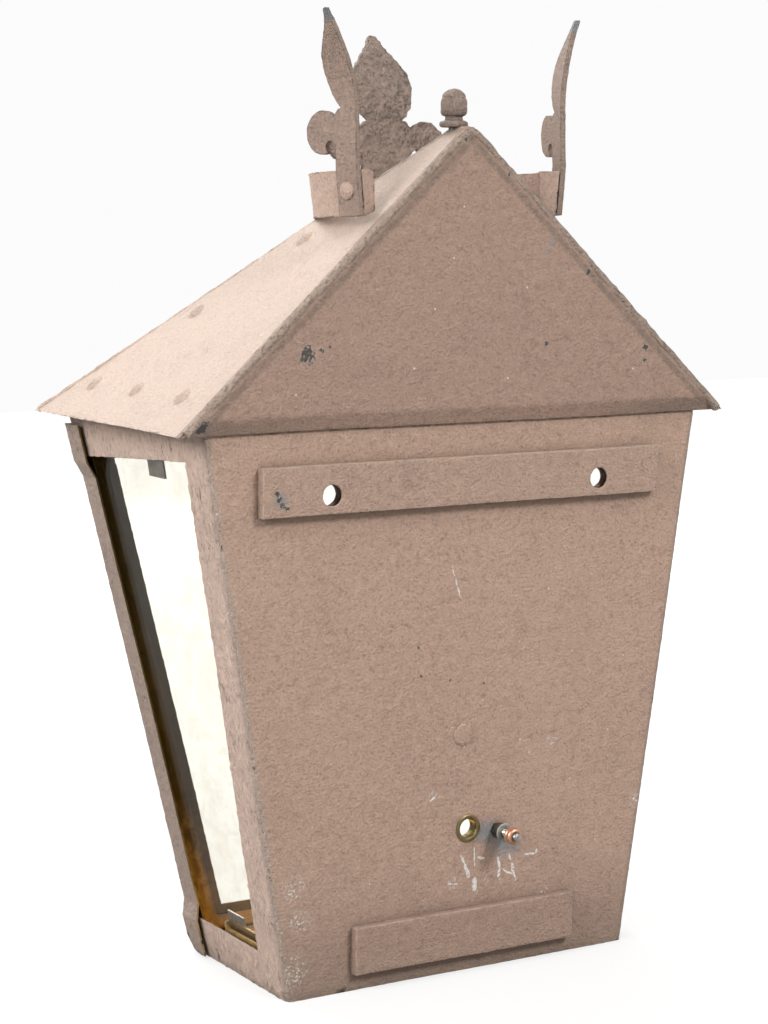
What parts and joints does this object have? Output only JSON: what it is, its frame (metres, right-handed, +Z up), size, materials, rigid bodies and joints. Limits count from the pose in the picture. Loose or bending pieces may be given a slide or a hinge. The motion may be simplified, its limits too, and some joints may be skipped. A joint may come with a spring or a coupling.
{
  "type": "wall lantern",
  "caption": "Tapered half lantern for a wall, with a gabled roof, a round crown carrying fleurs, glass sides and a hinged glass front door.",
  "frame": {"origin": "midway between the two screw holes, on the upper wall bar's outer face", "axes": "+Y into the wall, +Z up, +X to the right of someone who faces the lantern's door"},
  "size_m": [0.3042, 0.181, 0.4579],
  "materials": {
    "body_paint": "thick textured taupe paint, worn",
    "bare_brass": "aged, olive brown",
    "dark_iron": "dark, waxed",
    "zinc_steel": "dull zinc",
    "copper_red": "copper coloured, dull",
    "lamp_ceramic": "glazed off-white",
    "cream_glass": "cream tinted, clear"
  },
  "bodies": {
    "lantern_body": {"back_plate": "body_paint", "side_frame_right": "body_paint", "side_frame_left": "body_paint", "base_plate": "bare_brass", "front_sill": "body_paint", "front_header": "body_paint", "door_jamb_right": "bare_brass", "door_jamb_left": "bare_brass", "eave_ring": "bare_brass", "roof_gable": "body_paint", "roof_slope_right": "body_paint", "roof_slope_left": "body_paint", "roof_slope_front": "body_paint", "roof_studs_right": "body_paint", "roof_studs_left": "body_paint", "roof_studs_front": "body_paint", "crown_band": "body_paint", "fleur_front": "body_paint", "fleur_right": "body_paint", "fleur_left": "body_paint", "crown_rivets": "body_paint", "finial_collar": "dark_iron", "finial_acorn": "dark_iron", "finial_rod": "zinc_steel", "finial_nut": "zinc_steel", "upper_wall_bar": "body_paint", "lower_wall_bar": "body_paint", "cable_ferrule": "bare_brass", "earth_stud": "zinc_steel", "earth_washer": "zinc_steel", "earth_lock_nut": "zinc_steel", "earth_terminal_nut": "copper_red", "bracket_rivet": "body_paint", "lamp_bracket": "zinc_steel", "lamp_nipple": "bare_brass", "lamp_nut": "bare_brass", "lampholder_cap": "bare_brass", "lampholder_body": "lamp_ceramic", "lampholder_shell": "bare_brass", "lampholder_contact": "copper_red", "side_glass_right": "cream_glass", "side_glass_left": "cream_glass", "glass_clips_right": "zinc_steel", "glass_clips_left": "zinc_steel", "glass_packing_right": "bare_brass", "glass_packing_left": "bare_brass", "hinge_leaves_body": "body_paint", "hinge_pins": "zinc_steel", "hinge_rivets_body": "body_paint"},
    "door": {"door_frame": "body_paint", "door_glass": "cream_glass", "door_clips": "zinc_steel", "hinge_leaves_door": "body_paint", "hinge_rivets_door": "body_paint", "catch_washer": "bare_brass"},
    "catch": {"catch_spindle": "bare_brass", "catch_knob": "bare_brass", "catch_tongue": "bare_brass"}
  },
  "joints": [
    {"name": "door_hinge", "type": "hinge", "parent": "lantern_body", "child": "door", "pos_m": [-0.11817, -0.12809, -0.10988], "axis": [0.1487, 0.2043, -0.9675], "range_deg": [0, 110]},
    {"name": "catch_turn", "type": "hinge", "parent": "door", "child": "catch", "pos_m": [0, -0.15275, 0.0146], "axis": [0, 0.9784, 0.2066], "range_deg": [0, 90]}
  ]
}
